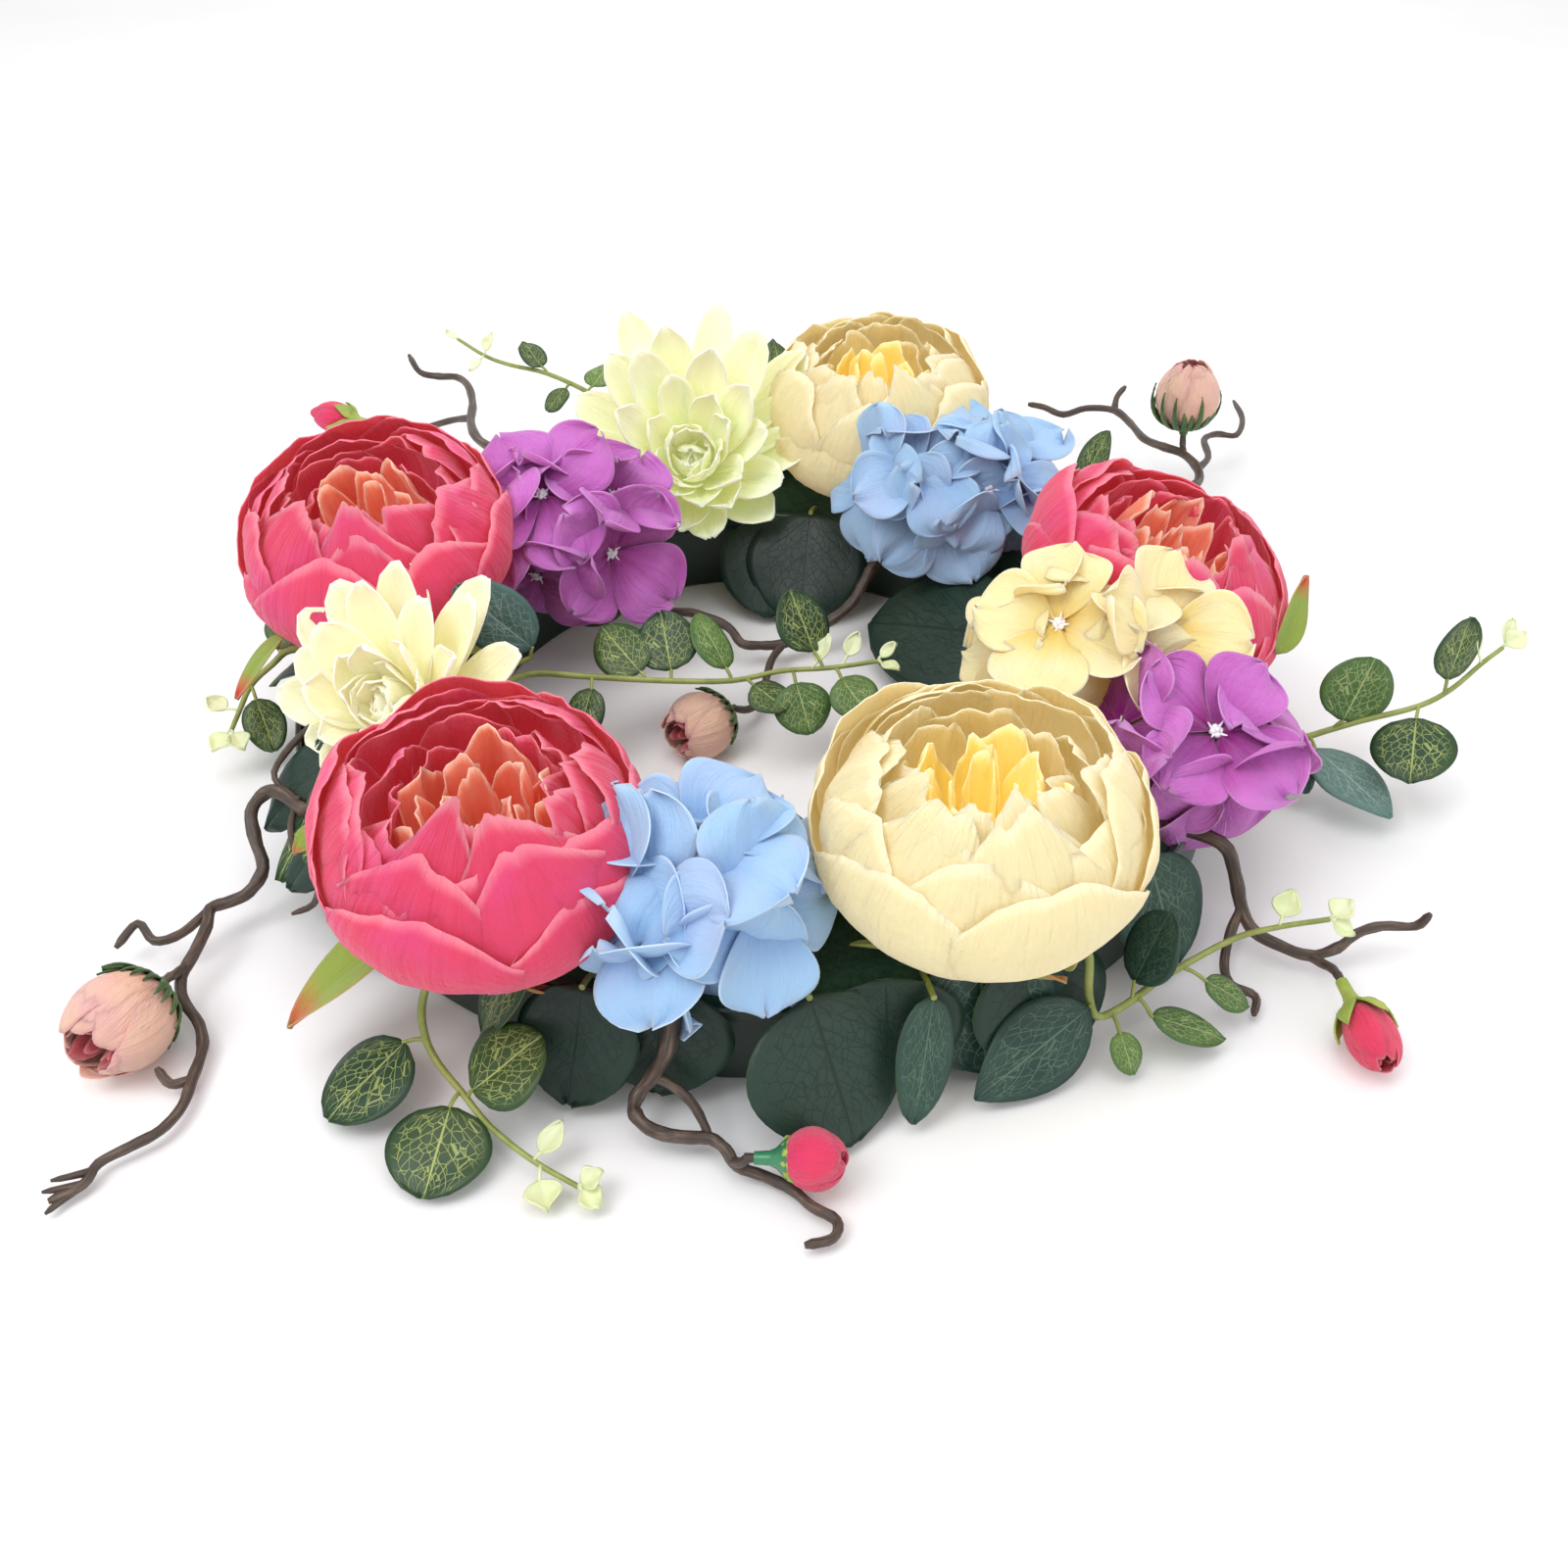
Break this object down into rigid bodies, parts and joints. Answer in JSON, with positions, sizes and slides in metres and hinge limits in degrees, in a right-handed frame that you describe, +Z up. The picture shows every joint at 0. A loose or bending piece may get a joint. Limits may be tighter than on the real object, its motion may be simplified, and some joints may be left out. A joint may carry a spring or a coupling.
{
  "type": "flower crown",
  "caption": "Ring-shaped crown of artificial peonies, dahlias and hydrangea heads on a foam-filled ring tray, with bendable bud twigs and leaf sprays.",
  "frame": {"origin": "centre of the round head opening, in the plane of the tray's flat underside", "axes": "+Z up out of the ring along the head's axis, -Y towards the front with the pink and cream peonies, +X to the right in that front view"},
  "size_m": [0.4435, 0.4474, 0.1005],
  "materials": {
    "tray": "satin moulded plastic, dark green",
    "foam": "matt open-cell floral foam, dark green",
    "peony_pink": "matt woven petal cloth, hot pink with paler edges",
    "peony_pink_heart": "matt petal cloth, coral",
    "peony_cream": "matt petal cloth, ivory",
    "peony_cream_heart": "matt petal cloth, warm yellow",
    "dahlia_cream": "matt petal cloth, greenish cream",
    "hydrangea_purple": "matt petal cloth, orchid purple",
    "hydrangea_blue": "matt petal cloth, sky blue",
    "hydrangea_cream": "matt petal cloth, pale yellow",
    "stem": "matt plastic over wire, yellow-green",
    "twig_bark": "grained plastic over wire, dark brown",
    "bud_peach": "matt petal cloth, peach pink",
    "bud_red": "matt petal cloth, rose red",
    "leaf_green": "smooth coated leaf cloth, dark blue-green",
    "spray_green": "soft plastic leaves on an olive stem"
  },
  "bodies": {
    "crown": {"base_tray": "tray", "blue_hydrangea_back_florets": "hydrangea_blue", "blue_hydrangea_back_stem": "stem", "blue_hydrangea_front_florets": "hydrangea_blue", "blue_hydrangea_front_stem": "stem", "cream_hydrangea_right_florets": "hydrangea_cream", "cream_hydrangea_right_stem": "stem", "cream_peony_back_heart": "peony_cream_heart", "cream_peony_back_petals": "peony_cream", "cream_peony_back_stem": "stem", "cream_peony_front_heart": "peony_cream_heart", "cream_peony_front_petals": "peony_cream", "cream_peony_front_stem": "stem", "dahlia_back_petals": "dahlia_cream", "dahlia_back_stem": "stem", "dahlia_left_petals": "dahlia_cream", "dahlia_left_stem": "stem", "foam_ring": "foam", "leaf_front_center": "leaf_green", "leaf_front_folded": "leaf_green", "leaf_front_left": "leaf_green", "leaf_front_right": "leaf_green", "leaf_inner_back": "leaf_green", "leaf_inner_back_side": "leaf_green", "leaf_inner_right": "leaf_green", "pink_peony_back_left_heart": "peony_pink_heart", "pink_peony_back_left_petals": "peony_pink", "pink_peony_back_left_stem": "stem", "pink_peony_front_left_heart": "peony_pink_heart", "pink_peony_front_left_petals": "peony_pink", "pink_peony_front_left_stem": "stem", "pink_peony_right_heart": "peony_pink_heart", "pink_peony_right_petals": "peony_pink", "pink_peony_right_stem": "stem", "purple_hydrangea_back_florets": "hydrangea_purple", "purple_hydrangea_back_stem": "stem", "purple_hydrangea_right_florets": "hydrangea_purple", "purple_hydrangea_right_stem": "stem"},
    "twig_left": {"twig_left": "twig_bark", "bud_left": "bud_peach"},
    "twig_back_left": {"twig_back_left": "twig_bark", "bud_back_left": "bud_red"},
    "twig_back_right": {"twig_back_right": "twig_bark", "bud_back_right": "bud_peach"},
    "twig_front": {"twig_front": "twig_bark", "bud_front": "bud_red"},
    "twig_right": {"twig_right": "twig_bark", "bud_right": "bud_red"},
    "spray_front_left": {"spray_front_left": "spray_green"},
    "spray_right": {"spray_right": "spray_green"},
    "spray_inner": {"spray_inner": "spray_green", "sprig_silver": "spray_green"},
    "spray_back_left": {"spray_back_left": "spray_green"},
    "spray_left": {"spray_left": "spray_green"},
    "spray_front_right": {"spray_front_right": "spray_green"},
    "twig_inner": {"twig_inner": "twig_bark", "bud_inner": "bud_peach"}
  },
  "joints": [
    {"name": "twig_left_bend", "type": "hinge", "parent": "crown", "child": "twig_left", "pos_m": [-0.13625, -0.04959, 0.034], "axis": [-0.342, 0.9397, 0], "range_deg": [0, 25]},
    {"name": "twig_back_left_bend", "type": "hinge", "parent": "crown", "child": "twig_back_left", "pos_m": [-0.08726, 0.1158, 0.034], "axis": [0.7986, 0.6018, 0], "range_deg": [0, 25]},
    {"name": "twig_back_right_bend", "type": "hinge", "parent": "crown", "child": "twig_back_right", "pos_m": [0.11878, 0.08317, 0.034], "axis": [0.5736, -0.8192, 0], "range_deg": [0, 25]},
    {"name": "twig_front_bend", "type": "hinge", "parent": "crown", "child": "twig_front", "pos_m": [-0.02018, -0.14359, 0.034], "axis": [-0.9903, 0.1392, 0], "range_deg": [0, 10]},
    {"name": "twig_right_bend", "type": "hinge", "parent": "crown", "child": "twig_right", "pos_m": [0.12021, -0.08108, 0.034], "axis": [-0.5592, -0.829, 0], "range_deg": [0, 12]},
    {"name": "spray_front_left_bend", "type": "hinge", "parent": "crown", "child": "spray_front_left", "pos_m": [-0.08108, -0.12021, 0.034], "axis": [-0.829, 0.5592, 0], "range_deg": [0, 18]},
    {"name": "spray_right_bend", "type": "hinge", "parent": "crown", "child": "spray_right", "pos_m": [0.14069, -0.03508, 0.034], "axis": [-0.2419, -0.9703, 0], "range_deg": [0, 30]},
    {"name": "spray_inner_bend", "type": "hinge", "parent": "crown", "child": "spray_inner", "pos_m": [-0.09796, -0.03183, 0.034], "axis": [0.309, -0.9511, 0], "range_deg": [0, 6]},
    {"name": "spray_back_left_bend", "type": "hinge", "parent": "crown", "child": "spray_back_left", "pos_m": [-0.05432, 0.13444, 0.034], "axis": [0.9272, 0.3746, 0], "range_deg": [0, 30]},
    {"name": "spray_left_bend", "type": "hinge", "parent": "crown", "child": "spray_left", "pos_m": [-0.14491, 0.00506, 0.034], "axis": [0.0349, 0.9994, 0], "range_deg": [0, 30]},
    {"name": "spray_front_right_bend", "type": "hinge", "parent": "crown", "child": "spray_front_right", "pos_m": [0.08108, -0.12021, 0.034], "axis": [-0.829, -0.5592, 0], "range_deg": [0, 25]},
    {"name": "twig_inner_swing", "type": "hinge", "parent": "crown", "child": "twig_inner", "pos_m": [0.0561, 0.08638, 0.034], "axis": [0, 0, 1], "range_deg": [0, 10]}
  ]
}
